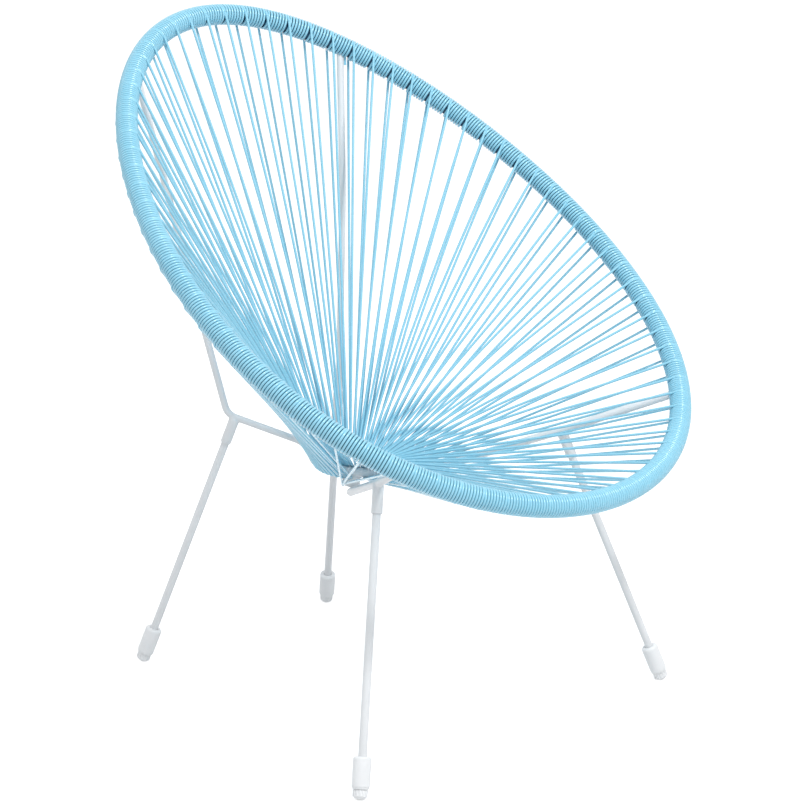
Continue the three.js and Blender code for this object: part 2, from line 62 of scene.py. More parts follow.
# %% Camera
PLACE_Y = -0.0006
CAMERA_AZIMUTH = math.radians(-44.64)
CAMERA_HEIGHT_ANGLE = math.radians(15.13)
CAMERA_DISTANCE = 3.135
LENS_IN_PIXELS = 2518
PICTURE_WIDTH = 805
SENSOR_WIDTH = 36
LOOKED_AT = Vector((0, -0.00774 + PLACE_Y, 0.385))

towards_camera = Vector((
    math.sin(CAMERA_AZIMUTH) * math.cos(CAMERA_HEIGHT_ANGLE),
    -math.cos(CAMERA_AZIMUTH) * math.cos(CAMERA_HEIGHT_ANGLE),
    math.sin(CAMERA_HEIGHT_ANGLE),
))
bpy.ops.object.select_all(action="DESELECT")
bpy.ops.object.camera_add(location=LOOKED_AT + CAMERA_DISTANCE * towards_camera)
camera = bpy.context.active_object
camera.name = "camera"
camera.rotation_euler = towards_camera.to_track_quat("Z", "Y").to_euler()
camera.data.sensor_width = SENSOR_WIDTH
camera.data.lens = LENS_IN_PIXELS * SENSOR_WIDTH / PICTURE_WIDTH
bpy.context.scene.camera = camera
print("lens:", round(camera.data.lens, 1), "mm")

# %% [markdown]
# ## Finishes
# Three finishes show. The cord is soft plastic with a sheen, drawn through a round die. The steel has a
# white powder coat, which dries with a very fine orange peel. The feet are moulded from white plastic.
# The hoop's own tube shows only as dark blue lines between the turns of cord. That darkness is shade in
# the narrow gaps, so the tube is given a dark blue colour as painted shade instead of its white coat.
# A single colour would look like a drawing. Each finish is built from noise on Object coordinates, which
# stay fixed to the piece, so that colour, gloss and surface vary a little from place to place as they do on
# the real thing.

# %% A helper for plastics and coatings
PATCH_DETAIL = 3
PATCH_EDGES = (0.3, 0.7)
GRAIN_DETAIL = 2
GRAIN_STRENGTH = 0.5
COAT_ROUGHNESS = 0.2


def coated(name, colours, patch_scale, roughness, grain_scale, grain_depth, coat):
    material = bpy.data.materials.new(name)
    material.use_nodes = True
    nodes, links = material.node_tree.nodes, material.node_tree.links
    shader = nodes["Principled BSDF"]
    place = nodes.new("ShaderNodeTexCoord")

    patches = nodes.new("ShaderNodeTexNoise")
    patches.inputs["Scale"].default_value = patch_scale
    patches.inputs["Detail"].default_value = PATCH_DETAIL
    tint = nodes.new("ShaderNodeValToRGB")
    for stop, edge, colour in zip(tint.color_ramp.elements, PATCH_EDGES, colours):
        stop.position = edge
        stop.color = (*colour, 1)
    links.new(place.outputs["Object"], patches.inputs["Vector"])
    links.new(patches.outputs["Fac"], tint.inputs["Fac"])
    links.new(tint.outputs["Color"], shader.inputs["Base Color"])

    grain = nodes.new("ShaderNodeTexNoise")
    grain.inputs["Scale"].default_value = grain_scale
    grain.inputs["Detail"].default_value = GRAIN_DETAIL
    gloss = nodes.new("ShaderNodeMapRange")
    gloss.inputs["To Min"].default_value = roughness[0]
    gloss.inputs["To Max"].default_value = roughness[1]
    bump = nodes.new("ShaderNodeBump")
    bump.inputs["Strength"].default_value = GRAIN_STRENGTH
    bump.inputs["Distance"].default_value = grain_depth
    links.new(place.outputs["Object"], grain.inputs["Vector"])
    links.new(patches.outputs["Fac"], gloss.inputs["Value"])
    links.new(gloss.outputs["Result"], shader.inputs["Roughness"])
    links.new(grain.outputs["Fac"], bump.inputs["Height"])
    links.new(bump.outputs["Normal"], shader.inputs["Normal"])
    shader.inputs["Coat Weight"].default_value = coat
    shader.inputs["Coat Roughness"].default_value = COAT_ROUGHNESS
    return material


# %% The finishes
cord_plastic = coated(
    "glossy_blue_cord", [(0.265, 0.61, 0.77), (0.305, 0.65, 0.81)],
    patch_scale=14, roughness=(0.22, 0.32), grain_scale=900, grain_depth=0.00004, coat=0.55,
)
powder_coat = coated(
    "white_powder_coat", [(0.74, 0.75, 0.76), (0.78, 0.79, 0.80)],
    patch_scale=22, roughness=(0.34, 0.46), grain_scale=1500, grain_depth=0.00005, coat=0.1,
)
foot_plastic = coated(
    "white_moulded_plastic", [(0.80, 0.805, 0.81), (0.84, 0.845, 0.85)],
    patch_scale=40, roughness=(0.40, 0.52), grain_scale=2600, grain_depth=0.00002, coat=0.0,
)
# Painted shade: the hoop's tube is coloured dark blue to stand in for the shade deep between the turns of
# cord.
painted_gap_shade = coated(
    "painted_gap_shade_dark_blue", [(0.004, 0.050, 0.110), (0.008, 0.070, 0.140)],
    patch_scale=60, roughness=(0.55, 0.7), grain_scale=700, grain_depth=0.00008, coat=0.0,
)
FINISHES = {"cord": cord_plastic, "frame": powder_coat, "foot": foot_plastic}
for row in frame["record"]["subparts"]:
    node = frame["nodes"][row["node"]]
    node.data.materials.clear()
    # The hoop's tube takes the painted shade colour, not the white coat of the frame.
    gap_shade_painted = row["node"] == "hoop_tube"
    node.data.materials.append(painted_gap_shade if gap_shade_painted else FINISHES[row["material_slot"]])
print("finishes:", ", ".join(sorted(FINISHES)))

# %% [markdown]
# ## Handing a piece over
# Every finished piece gets its finish, smooth shading, the body that it moves with and the model's
# nodes that it stands for. This could be done at the end for all pieces at once, but a piece that is
# finished as soon as it is shaped is never forgotten. Its place is moved from the object into the mesh,
# so that patterns on Object coordinates line up with those of the neighbouring pieces.

# %% A helper that picks pieces, and one that finishes a piece
def pick(*pieces):
    """Select these pieces and no others. The first becomes the active one."""
    bpy.ops.object.select_all(action="DESELECT")
    for piece in pieces:
        piece.select_set(True)
    if pieces:
        bpy.context.view_layer.objects.active = pieces[0]


def hand_over(piece, name, slot, body, stands_for, smooth_up_to=40):
    piece.name = name
    piece.data.name = name
    pick(piece)
    bpy.ops.object.transform_apply(location=True, rotation=True, scale=True)
    bpy.ops.object.shade_smooth_by_angle(angle=math.radians(smooth_up_to))
    piece.data.materials.clear()
    piece.data.materials.append(FINISHES[slot])
    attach(piece, body)
    if stands_for:
        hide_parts(*stands_for)
    return piece


# %% [markdown]
# ## The line of the hoop
# The hoop is egg shaped, wider towards the front than towards the back, lies in a plane that leans back
# by almost 36 degrees, and rises a little out of it at its two ends. It could be a curve object, but the
# cord has to be spaced by length along it, so the curve is a formula that is walked once in fine steps.
# A place on it is then named by its distance from the front middle.

# %% Hoop sizes and its curve
HOOP_HALF_WIDTH = 0.3308
HOOP_HALF_LENGTH = 0.4286
HOOP_EGG_SHARE = -0.106
HOOP_END_RISE = 0.0109
HOOP_LEAN = math.radians(35.7)
HOOP_CENTRE_Z = 0.5773
HOOP_TUBE_RADIUS = 0.010
FRONT = -math.pi / 2
WALK_STEPS = 7200

hoop_normal = np.array((0, -math.sin(HOOP_LEAN), math.cos(HOOP_LEAN)))


def hoop_point(t):
    across = HOOP_HALF_WIDTH * np.cos(t) * (1 + HOOP_EGG_SHARE * np.sin(t))
    along = HOOP_HALF_LENGTH * np.sin(t)
    rise = HOOP_END_RISE * np.sin(t) ** 2
    y = along * math.cos(HOOP_LEAN) - rise * math.sin(HOOP_LEAN)
    z = along * math.sin(HOOP_LEAN) + rise * math.cos(HOOP_LEAN)
    y_centre = PLACE_Y + HOOP_END_RISE * math.sin(HOOP_LEAN)
    return np.stack((across, y_centre + y, HOOP_CENTRE_Z + z), axis=-1)


walk_angles = FRONT + np.linspace(0, 2 * math.pi, WALK_STEPS + 1)
walk_points = hoop_point(walk_angles)
walk_lengths = np.concatenate(([0], np.cumsum(np.linalg.norm(np.diff(walk_points, axis=0), axis=1))))
HOOP_LENGTH = walk_lengths[-1]
print("hoop length:", round(HOOP_LENGTH, 3), "m")

# %% Places and directions on the hoop
SMALL_TURN = 1e-4


def unit(v):
    return v / np.linalg.norm(v, axis=-1, keepdims=True)


def hoop_angle(place):
    return np.interp(np.mod(place, HOOP_LENGTH), walk_lengths, walk_angles)


def hoop_frame(place):
    t = hoop_angle(place)
    tangent = unit(hoop_point(t + SMALL_TURN) - hoop_point(t - SMALL_TURN))
    out = unit(np.cross(tangent, hoop_normal))
    return hoop_point(t), tangent, out, np.cross(out, tangent)


def on_hoop(place, around, radius):
    centre, _, out, up = hoop_frame(place)
    return centre + radius[..., None] * (np.cos(around)[..., None] * out + np.sin(around)[..., None] * up)


# %% [markdown]
# ## The hub ring
# All the seat cords turn round a small oval ring that lies level under the seat. The model has it with
# eight sides. Here it becomes a round bar. Scaling a torus to an oval would flatten its bar at the ends,
# so each point of the torus is moved to its place on the oval, at its own distance from the middle line.

# %% Ring sizes
RING_HALF_WIDTH = 0.0447
RING_HALF_LENGTH = 0.0546
RING_CENTRE = np.array((0, 0.0725 + PLACE_Y, 0.292))
RING_TUBE_RADIUS = 0.006
RING_STEPS = 96
RING_SIDES = 20
print("ring:", round(2000 * RING_HALF_WIDTH, 1), "by", round(2000 * RING_HALF_LENGTH, 1), "mm")


def ring_point(t):
    return RING_CENTRE + np.stack(
        (RING_HALF_WIDTH * np.cos(t), RING_HALF_LENGTH * np.sin(t), np.zeros_like(t)), axis=-1
    )


def ring_outward(t):
    return unit(np.stack(
        (np.cos(t) / RING_HALF_WIDTH, np.sin(t) / RING_HALF_LENGTH, np.zeros_like(t)), axis=-1
    ))


# %% Ring
pick()
bpy.ops.mesh.primitive_torus_add(
    major_segments=RING_STEPS, minor_segments=RING_SIDES,
    major_radius=RING_HALF_WIDTH, minor_radius=RING_TUBE_RADIUS, location=RING_CENTRE,
)
ring = bpy.context.active_object
for vertex in ring.data.vertices:
    t = np.array(math.atan2(vertex.co.y, vertex.co.x))
    offset = math.hypot(vertex.co.x, vertex.co.y) - RING_HALF_WIDTH
    line = ring_point(t) - RING_CENTRE + offset * ring_outward(t)
    vertex.co.x, vertex.co.y = line[0], line[1]
hand_over(ring, "hub_ring_bar", "frame", "chair", ["hub_ring"])
print("ring faces:", len(ring.data.polygons))

# %% [markdown]
# ## How the cord runs
# One cord makes the winding and the seat. Every 30 mm it leaves the front of the hoop, runs down to the
# ring, turns round the ring's inner side, comes back up to the underside of the hoop, and then binds
# the hoop for seven and a half turns before it leaves again. So the outer side of the hoop shows eight
# passes at each station and the inner side only seven, with a dark gap beside each seat cord.
#
# The turns could be a bump in a material, but they show in the outline and cast shadows on each other,
# so they are wound in full. A taut cord leaves a round bar along its surface, so its last part of a turn
# bends towards the ring and rides up over its neighbours. A station is a place where a pair of seat
# cords leaves the hoop. COUNTED says how many stations lie between the front middle and the arm, the
# back stay and the back middle, and COUNTED_SHARES how far along the half hoop these three are.

# %% Cord sizes
CORD_RADIUS = 0.00167
STATIONS = 80
COUNTED = (0, 10, 34, 40)
COUNTED_SHARES = (0, 0.23256, 0.83721, 1)
PASSES = 8
PASS_PITCH = HOOP_LENGTH / STATIONS / PASSES
LEAVING_STEP = PASS_PITCH / 4
TOUCH_GAP = 0.0003
WOUND_RADIUS = HOOP_TUBE_RADIUS + TOUCH_GAP + CORD_RADIUS
LAID_LIFT = 0.0013
FULL_LIFT_SLANT = 0.15
BEND_SWEEP = math.radians(42)
INNER_SPREAD = 0.0020
RING_CORD_RADIUS = RING_TUBE_RADIUS + CORD_RADIUS
print("cord:", round(2000 * CORD_RADIUS, 2), "mm, pass pitch:", round(1000 * PASS_PITCH, 2), "mm")

# %% Where each seat cord meets the hoop and the ring
def gap_place(k):
    """Where the gap after k seat cords lies, from the front middle. The two halves mirror each other."""
    rounds, counted = divmod(k, STATIONS)
    place = HOOP_LENGTH / 2 * np.interp(min(counted, STATIONS - counted), COUNTED, COUNTED_SHARES)
    return rounds * HOOP_LENGTH + (place if counted <= STATIONS / 2 else HOOP_LENGTH - place)


def station_place(k):
    return gap_place(k + 0.5)


def run_of(k):
    """The seat cord's direction at station k, seen in the hoop's frame and in the ring's."""
    centre, tangent, out, up = hoop_frame(station_place(k))
    t = hoop_angle(station_place(k))
    hub = ring_point(t)
    run = hub - centre
    flat = np.array((run @ out, run @ up))
    flat_length = np.linalg.norm(flat)
    slope = math.atan2(-run[2], -run @ ring_outward(t))
    return {
        "t": t, "hub": hub, "slope": slope, "sideways": (run @ tangent) / flat_length,
        "top": math.atan2(-flat[0], flat[1]), "under": math.atan2(flat[0], -flat[1]),
    }


runs = [run_of(k) for k in range(STATIONS)]


def bend(theta, sideways):
    """How far the cord has turned aside along the hoop and how far it has risen, theta before it leaves."""
    part = np.clip(1 + theta / BEND_SWEEP, 0, 1)
    aside = WOUND_RADIUS * sideways * BEND_SWEEP * part**2 / 2
    rise = LAID_LIFT * min(1, abs(sideways) / FULL_LIFT_SLANT) * part**2 * (3 - 2 * part)
    return aside, rise


def spread(part, around):
    """How far a turn stands aside on the hoop's inner side, which narrows the gap at each seat cord."""
    return INNER_SPREAD * (part - 0.5) * (1 - np.cos(around)) / 2


print("spacing:", round(1000 * (station_place(1) - station_place(0)), 1), "mm at the front,",
      round(1000 * (station_place(20) - station_place(19)), 1), "mm at the sides")

# %% The winding of one station
STEPS_PER_TURN = 20


def winding_run(k):
    """From the underside at station k, seven and a half turns, to the top at station k + 1."""
    here, after = runs[k], runs[(k + 1) % STATIONS]
    start = station_place(k) + LEAVING_STEP
    end = station_place(k + 1) - LEAVING_STEP
    sweep = 2 * math.pi * (PASSES - 1) + (after["top"] - here["under"]) % (2 * math.pi)
    steps = round(sweep / (2 * math.pi) * STEPS_PER_TURN)
    part = np.linspace(0, 1, steps + 1)
    around = here["under"] + sweep * part
    place = start + (end - start) * part + spread(part, around)
    radius = np.full_like(part, WOUND_RADIUS)
    for theta, sideways in ((sweep * (part - 1), after["sideways"]), (-sweep * part, here["sideways"])):
        aside, rise = bend(theta, sideways)
        place = place + aside
        radius = radius + rise
    return on_hoop(place, around, radius)


# %% [markdown]
# ## The seat cords
# A seat cord could be one straight line down and one up. On the real chair it turns round the inner side
# of the ring between them, so its route gets a half circle there, and every second cord lies a little
# further out, as crossing cords do. At three stations on each side, beside the arm, the cord goes on
# from the ring round the back corner of a plate that stands under it. The plate is made further on.

# %% The corner that a few cords are hooked round
HOOKED_STATIONS = (10, 11, 12)
HOOK_LAYER = 0.0008
HOOK_HEIGHT = 0.2752
HOOK_LEAD = 0.002
TAB_GAP = 14
TAB_BACK = 0.0132
tab_angle = hoop_angle(gap_place(TAB_GAP))
tab_middle = ring_point(tab_angle)
tab_way = unit(np.array(
    (-RING_HALF_WIDTH * math.sin(tab_angle), RING_HALF_LENGTH * math.cos(tab_angle), 0)
))
hook_corner = tab_middle + (TAB_BACK - CORD_RADIUS) * tab_way
hook_corner[2] = HOOK_HEIGHT
print("hooked stations:", 2 * len(HOOKED_STATIONS))

# %% The seat cord of one station
TURN_STEPS = 10
HOOKED_STEPS = 8
LAYER_STEP = 0.6 * CORD_RADIUS


def seat_run(k):
    """From the top of the hoop down to the ring, round its inner side, and up to the underside."""
    here = runs[k]
    hooked = [station for station in HOOKED_STATIONS if station in (k, STATIONS - 1 - k)]
    outward = ring_outward(np.array(here["t"]))
    layer = RING_CORD_RADIUS + (k % 2) * LAYER_STEP
    turn = here["slope"] + math.pi / 2 + np.linspace(0, math.pi, TURN_STEPS + 1)
    hook = here["hub"] + layer * (
        np.cos(turn)[:, None] * outward + np.sin(turn)[:, None] * np.array((0, 0, 1))
    )
    if hooked:
        corner = hook_corner * (1 if k < STATIONS / 2 else -1, 1, 1)
        below = corner - (0, 0, HOOK_LAYER * (1 + HOOKED_STATIONS.index(hooked[0])))
        hook = hook[:HOOKED_STEPS]
        hook = np.concatenate((hook, [below + HOOK_LEAD * unit(hook[-1] - below), below]))
    aside, rise = bend(0, here["sideways"])
    ends = []
    for angle, part, shift in ((here["top"], 1, -LEAVING_STEP), (here["under"], 0, LEAVING_STEP)):
        place = np.array([station_place(k) + shift + aside + spread(part, angle)])
        ends.append(on_hoop(place, np.array([angle]), np.array([WOUND_RADIUS + rise])))
    return np.concatenate((ends[0], hook, ends[1]))


# %% [markdown]
# ## From routes to cords
# Thousands of turns of cord would be slow to push out face by face. A curve with a round bevel is a
# tube of even thickness along any route, so all the routes of a piece go into one curve, and it is
# turned into a mesh. Eight sides are enough for a cord of about three millimetres.

# %% Cords as tubes
CORD_BEVEL_LEVEL = 2
CORD_SMOOTH_UP_TO = 75


def cords(name, routes):
    curve = bpy.data.curves.new(name, "CURVE")
    curve.dimensions = "3D"
    curve.bevel_depth = CORD_RADIUS
    curve.bevel_resolution = CORD_BEVEL_LEVEL
    curve.use_fill_caps = True
    for route in routes:
        spline = curve.splines.new("POLY")
        spline.points.add(len(route) - 1)
        spline.points.foreach_set("co", np.c_[route, np.ones(len(route))].ravel())
        spline.use_smooth = True
    piece = bpy.data.objects.new(name, curve)
    bpy.context.scene.collection.objects.link(piece)
    pick(piece)
    bpy.ops.object.convert(target="MESH")
    return bpy.context.active_object


# %% Wind the hoop
half = STATIONS // 2
windings = {
    "left": ("hoop_winding_left", range(1, half)),
    "right": ("hoop_winding_right", range(half, STATIONS - 1)),
    "front": ("hoop_winding_turns", [STATIONS - 1, 0]),
}
for side, (node, stations) in windings.items():
    name = f"hoop_binding_{side}"
    piece = cords(name, [winding_run(k) for k in stations])
    hand_over(piece, name, "cord", "chair", [node], smooth_up_to=CORD_SMOOTH_UP_TO)
    print(piece.name, len(piece.data.polygons), "faces")

# %% String the seat
FANS = 10
FAN_STATIONS = STATIONS // FANS
for fan in range(FANS):
    name = f"seat_fan_{fan + 1:02d}"
    piece = cords(name, [seat_run(FAN_STATIONS * fan + k) for k in range(FAN_STATIONS)])
    node = f"seat_cords_{fan + 1:02d}"
    hand_over(piece, name, "cord", "chair", [node], smooth_up_to=CORD_SMOOTH_UP_TO)
print("seat cords:", 2 * STATIONS)

# %% [markdown]
# ## Bent rods
# The back stays and the front arms are bent from straight stock. A bevelled curve would pinch at tight
# bends, so a bent rod is made here as a bender makes it: a disc is pushed out along each straight and
# spun round the middle of each bend, and the disc that travels along closes the far end. The rims of
# the two ends are then rounded a little, as a sawn and coated end is.

# %% Helpers for edit mode
def start_editing(piece):
    pick(piece)
    bpy.ops.object.mode_set(mode="EDIT")
    bpy.ops.mesh.select_all(action="DESELECT")


def select_faces(piece, wanted):
    bpy.ops.mesh.select_mode(type="FACE")
    bpy.ops.mesh.select_all(action="DESELECT")
    bpy.ops.object.mode_set(mode="OBJECT")
    for face in piece.data.polygons:
        face.select = wanted(face)
    bpy.ops.object.mode_set(mode="EDIT")


# %% A helper for bent rods
DEGREES_PER_STEP = 5
FEWEST_BEND_STEPS = 4


def bent_rod(corners, bend_radii, radius, end_round=0.0006, sides=36):
    corners = [Vector(corner) for corner in corners]
    heading = (corners[1] - corners[0]).normalized()
    pick()
    bpy.ops.mesh.primitive_circle_add(
        vertices=sides, radius=radius, fill_type="NGON", location=corners[0],
        rotation=heading.to_track_quat("Z", "Y").to_euler(),
    )
    rod = bpy.context.active_object
    bpy.ops.object.transform_apply(location=True, rotation=True, scale=True)
    start_editing(rod)
    bpy.ops.mesh.select_all(action="SELECT")
    reached = corners[0]
    for corner, following, bend_radius in zip(corners[1:], corners[2:], bend_radii):
        heading, after = (corner - reached).normalized(), (following - corner).normalized()
        angle, axis = heading.angle(after), heading.cross(after).normalized()
        setback = bend_radius * math.tan(angle / 2)
        bend_start = corner - setback * heading
        bpy.ops.mesh.extrude_region_move(TRANSFORM_OT_translate={"value": bend_start - reached})
        bpy.ops.mesh.spin(
            steps=max(FEWEST_BEND_STEPS, round(math.degrees(angle) / DEGREES_PER_STEP)), angle=-angle,
            center=bend_start + bend_radius * axis.cross(heading), axis=axis,
        )
        reached = corner + setback * after
    bpy.ops.mesh.extrude_region_move(TRANSFORM_OT_translate={"value": corners[-1] - reached})
    select_faces(rod, lambda face: len(face.vertices) > 4)
    bpy.ops.mesh.bevel(offset=end_round, segments=3)
    bpy.ops.mesh.select_all(action="SELECT")
    bpy.ops.mesh.normals_make_consistent(inside=False)
    bpy.ops.object.mode_set(mode="OBJECT")
    return rod


def mirrored(side, point):
    return Vector((side * point[0], point[1], point[2]))


# %% [markdown]
# ## Front arms
# Each arm starts on the hoop between two seat cords, runs almost straight over the top of the front leg
# and ends sawn square under the ring. It starts on the surface of the hoop's tube, where it is welded,
# so the winding closes round it. A stretched cylinder would do for a straight arm. The slight bend over
# the leg shows, so it is a bent rod with one very wide bend.

# %% Arms
SIDES = {"left": 1, "right": -1}
ARM_RADIUS = 0.0052
ARM_GAP = 10
ARM_END_DROP = 0.027
ARM_JOINT_SHARE = 0.407
ARM_JOINT_DROP = 0.0033
ARM_BEND_RADIUS = 0.5

arm_top = Vector(hoop_point(hoop_angle(gap_place(ARM_GAP))))
arm_end = Vector(tab_middle) - Vector((0, 0, ARM_END_DROP))
arm_joint = arm_top.lerp(arm_end, ARM_JOINT_SHARE) - Vector((0, 0, ARM_JOINT_DROP))
arm_start = arm_top + (HOOP_TUBE_RADIUS + TOUCH_GAP) * (arm_joint - arm_top).normalized()

for side, sign in SIDES.items():
    corners = [mirrored(sign, point) for point in (arm_start, arm_joint, arm_end)]
    arm = bent_rod(corners, [ARM_BEND_RADIUS], ARM_RADIUS)
    hand_over(arm, f"front_arm_bar_{side}", "frame", "chair", [f"front_arm_{side}"])
print("arm:", round((arm_end - arm_top).length, 3), "m long,", len(arm.data.polygons), "faces")

# %% [markdown]
# ## Back stays
# Each stay leaves the back of the hoop, bows slightly on its way down, turns forward at the heel, where
# the rear leg is welded on, and dives under the ring at the toe. Four bends on one rod make it: a very
# wide one for the bow, a heel bend of about two and a half rod widths, a wider one at the toe and a
# tight one under the ring. The corners come from the hoop, the heel and the ring, so that the rod still
# meets them if one of those is changed.

# %% Stays
STAY_RADIUS = 0.0045
STAY_GAP = 34
STAY_HEEL = Vector((0.0984, 0.2123 + PLACE_Y, 0.3455))
STAY_MID_SHARE = 0.421
STAY_BOW = Vector((0.0034, -0.0027, 0))
STAY_RING_ANGLE = math.radians(70)
STAY_TOE_STEP = Vector((0.0086, 0.0234, 0.0250))
STAY_BENDS = [0.9, 0.022, 0.030, 0.0085]
STAY_END_STRAIGHT = 2.5 * STAY_RADIUS

stay_top = Vector(hoop_point(hoop_angle(gap_place(STAY_GAP))))
stay_mid = stay_top.lerp(STAY_HEEL, STAY_MID_SHARE) + STAY_BOW
stay_seat = Vector(ring_point(np.array(STAY_RING_ANGLE)))
stay_seat.z -= RING_TUBE_RADIUS + TOUCH_GAP + STAY_RADIUS
stay_toe = stay_seat + STAY_TOE_STEP
ringward = (stay_seat - stay_toe) * Vector((1, 1, 0))
ringward.normalize()
stay_start = stay_top + (HOOP_TUBE_RADIUS + TOUCH_GAP) * (stay_mid - stay_top).normalized()
stay_corners = [
    stay_start, stay_mid, STAY_HEEL, stay_toe,
    stay_seat - STAY_END_STRAIGHT * ringward, stay_seat + STAY_RADIUS * ringward,
]

for side, sign in SIDES.items():
    stay = bent_rod([mirrored(sign, corner) for corner in stay_corners], STAY_BENDS, STAY_RADIUS)
    hand_over(stay, f"back_stay_rod_{side}", "frame", "chair", [f"back_stay_{side}"])
print("stay:", len(stay.data.polygons), "faces")

# %% [markdown]
# ## The plates under the ring
# A short plate stands on the end of each arm and carries the ring. Its back corner sticks out past the
# arm, and the weaver hooks a few cords round it that would otherwise meet the arm. Its outline could be
# drawn as a face and given a thickness. A cube is quicker here: it is drawn out to the plate, its back
# edge is slanted, its corners are rounded, and a fine bevel softens the edges that a shear leaves.

# %% Plates
TAB_THICKNESS = 0.004
TAB_FRONT = 0.0125
TAB_FOOT = 0.269
TAB_CORNER_RISE = 0.0055
TAB_CORNER_ROUND = 0.0022
TAB_EDGE_ROUND = 0.0004
TAB_TOP_SHARE = 0.8
tab_top = RING_CENTRE[2] - TAB_TOP_SHARE * RING_TUBE_RADIUS


def plate(sign):
    way = mirrored(sign, tab_way)
    centre = mirrored(sign, arm_end)
    centre.z = (TAB_FOOT + tab_top) / 2
    pick()
    bpy.ops.mesh.primitive_cube_add(
        size=1, location=centre + way * (TAB_BACK - TAB_FRONT) / 2,
        rotation=(0, 0, math.atan2(way.y, way.x)),
        scale=(TAB_BACK + TAB_FRONT, TAB_THICKNESS, tab_top - TAB_FOOT),
    )
    tab = bpy.context.active_object
    bpy.ops.object.transform_apply(location=False, rotation=False, scale=True)
    for corner in tab.data.vertices:
        if corner.co.x > 0 and corner.co.z < 0:
            corner.co.z += TAB_CORNER_RISE
        elif corner.co.x > 0:
            corner.co.x -= TAB_CORNER_RISE
    start_editing(tab)
    bpy.ops.mesh.select_mode(type="EDGE")
    bpy.ops.object.mode_set(mode="OBJECT")
    for edge in tab.data.edges:
        ends = [tab.data.vertices[i].co for i in edge.vertices]
        edge.select = abs(ends[0].y - ends[1].y) > TAB_THICKNESS / 2
    bpy.ops.object.mode_set(mode="EDIT")
    bpy.ops.mesh.bevel(offset=TAB_CORNER_ROUND, segments=5)
    bpy.ops.object.mode_set(mode="OBJECT")
    return tab


for side, sign in SIDES.items():
    tab = plate(sign)
    softened = tab.modifiers.new("sheared edge", "BEVEL")
    softened.width, softened.segments, softened.limit_method = TAB_EDGE_ROUND, 2, "ANGLE"
    bpy.ops.object.modifier_apply(modifier=softened.name)
    hand_over(tab, f"ring_plate_{side}", "frame", "chair", [f"ring_tab_{side}"])
print("plate:", round(1000 * (TAB_BACK + TAB_FRONT)), "mm long,", len(tab.data.polygons), "faces")

# %% [markdown]
# ## Pieces turned about the leg
# Everything on a leg is round and shares the leg's line. It could be modelled in its place, slanted.
# It is easier to measure upright, so each piece is made once at the origin: a circle is pushed up and
# resized ring by ring, as clay is thrown on a wheel. It is then copied to the four corners of the chair,
# each copy with a mesh of its own.

# %% A helper for turned pieces
def thrown(profile, sides):
    """Push a circle through (radius, height) pairs. The first and last rings are closed with a face."""
    radius, height = profile[0]
    pick()
    bpy.ops.mesh.primitive_circle_add(
        vertices=sides, radius=radius, fill_type="NGON", location=(0, 0, height)
    )
    piece = bpy.context.active_object
    bpy.ops.object.transform_apply(location=True, rotation=True, scale=True)
    start_editing(piece)
    bpy.ops.mesh.select_all(action="SELECT")
    for wider, higher in profile[1:]:
        bpy.ops.mesh.extrude_region_move(TRANSFORM_OT_translate={"value": (0, 0, higher - height)})
        grow = wider / radius
        bpy.ops.transform.resize(value=(grow, grow, 1), center_override=(0, 0, higher))
        radius, height = wider, higher
    bpy.ops.mesh.select_all(action="SELECT")
    bpy.ops.mesh.normals_make_consistent(inside=False)
    bpy.ops.object.mode_set(mode="OBJECT")
    return piece


def stood_at(master, foot, axis):
    copy = master.copy()
    copy.data = master.data.copy()
    bpy.context.scene.collection.objects.link(copy)
    copy.location = foot
    copy.rotation_euler = axis.to_track_quat("Z", "Y").to_euler()
    return copy


# %% [markdown]
# ## Glides
# A glide is a screw foot of moulded plastic: a low dome that stands on the floor, under a collar with
# fourteen flutes that fingers can grip, and a stud that goes up into the sleeve. The flutes could be cut
# with a boolean. Insetting every second face of the collar and sinking it gives the same and keeps the
# mesh clean. The bottom of the dome is cut off level where it would stand below the floor.

# %% Glide
LEG_RADIUS = 0.0051
GLIDE_RADIUS = 0.009
GLIDE_FLUTES = 14
GLIDE_COLLAR = 0.0074
GLIDE_DOME = 0.0044
GLIDE_FLAT_DEPTH = 0.0004
GLIDE_RIM_ROUND = 0.0004
COLLAR_ROUND = 0.0005
DOME_STEPS = 8
STUD_RADIUS = 0.004
STUD_LENGTH = 0.009
STUD_POINT = 0.0006
dome_radius = (GLIDE_RADIUS**2 + GLIDE_DOME**2) / (2 * GLIDE_DOME)
dome_angle = math.asin((GLIDE_RADIUS - GLIDE_RIM_ROUND) / dome_radius)
stud_end = GLIDE_COLLAR + STUD_LENGTH

profile = []
for step in range(1, DOME_STEPS + 1):
    angle = dome_angle * step / DOME_STEPS
    profile.append((dome_radius * math.sin(angle), dome_radius * (1 - math.cos(angle)) - GLIDE_DOME))
profile += [
    (GLIDE_RADIUS, GLIDE_RIM_ROUND), (GLIDE_RADIUS, GLIDE_COLLAR - COLLAR_ROUND),
    (GLIDE_RADIUS - COLLAR_ROUND, GLIDE_COLLAR), (STUD_RADIUS, GLIDE_COLLAR),
    (STUD_RADIUS, stud_end - STUD_POINT), (STUD_RADIUS - STUD_POINT, stud_end),
]
glide_master = thrown(profile, 2 * GLIDE_FLUTES)
print("glide:", round(1000 * (GLIDE_DOME + stud_end), 1), "mm tall")

# %% Flutes of the glide
FLUTE_DEPTH = 0.0007
FLUTE_MARGIN = 0.001
FLUTE_RIB = 0.00035
MOULDED_ROUND = 0.00018
MOULDED_ANGLE = math.radians(25)


def is_flute(face):
    on_collar = FLUTE_MARGIN < face.center.z < GLIDE_COLLAR - FLUTE_MARGIN
    if len(face.vertices) != 4 or not on_collar:
        return False
    turn = math.atan2(face.center.y, face.center.x) / (2 * math.pi) * 2 * GLIDE_FLUTES
    return math.floor(turn) % 2 == 0


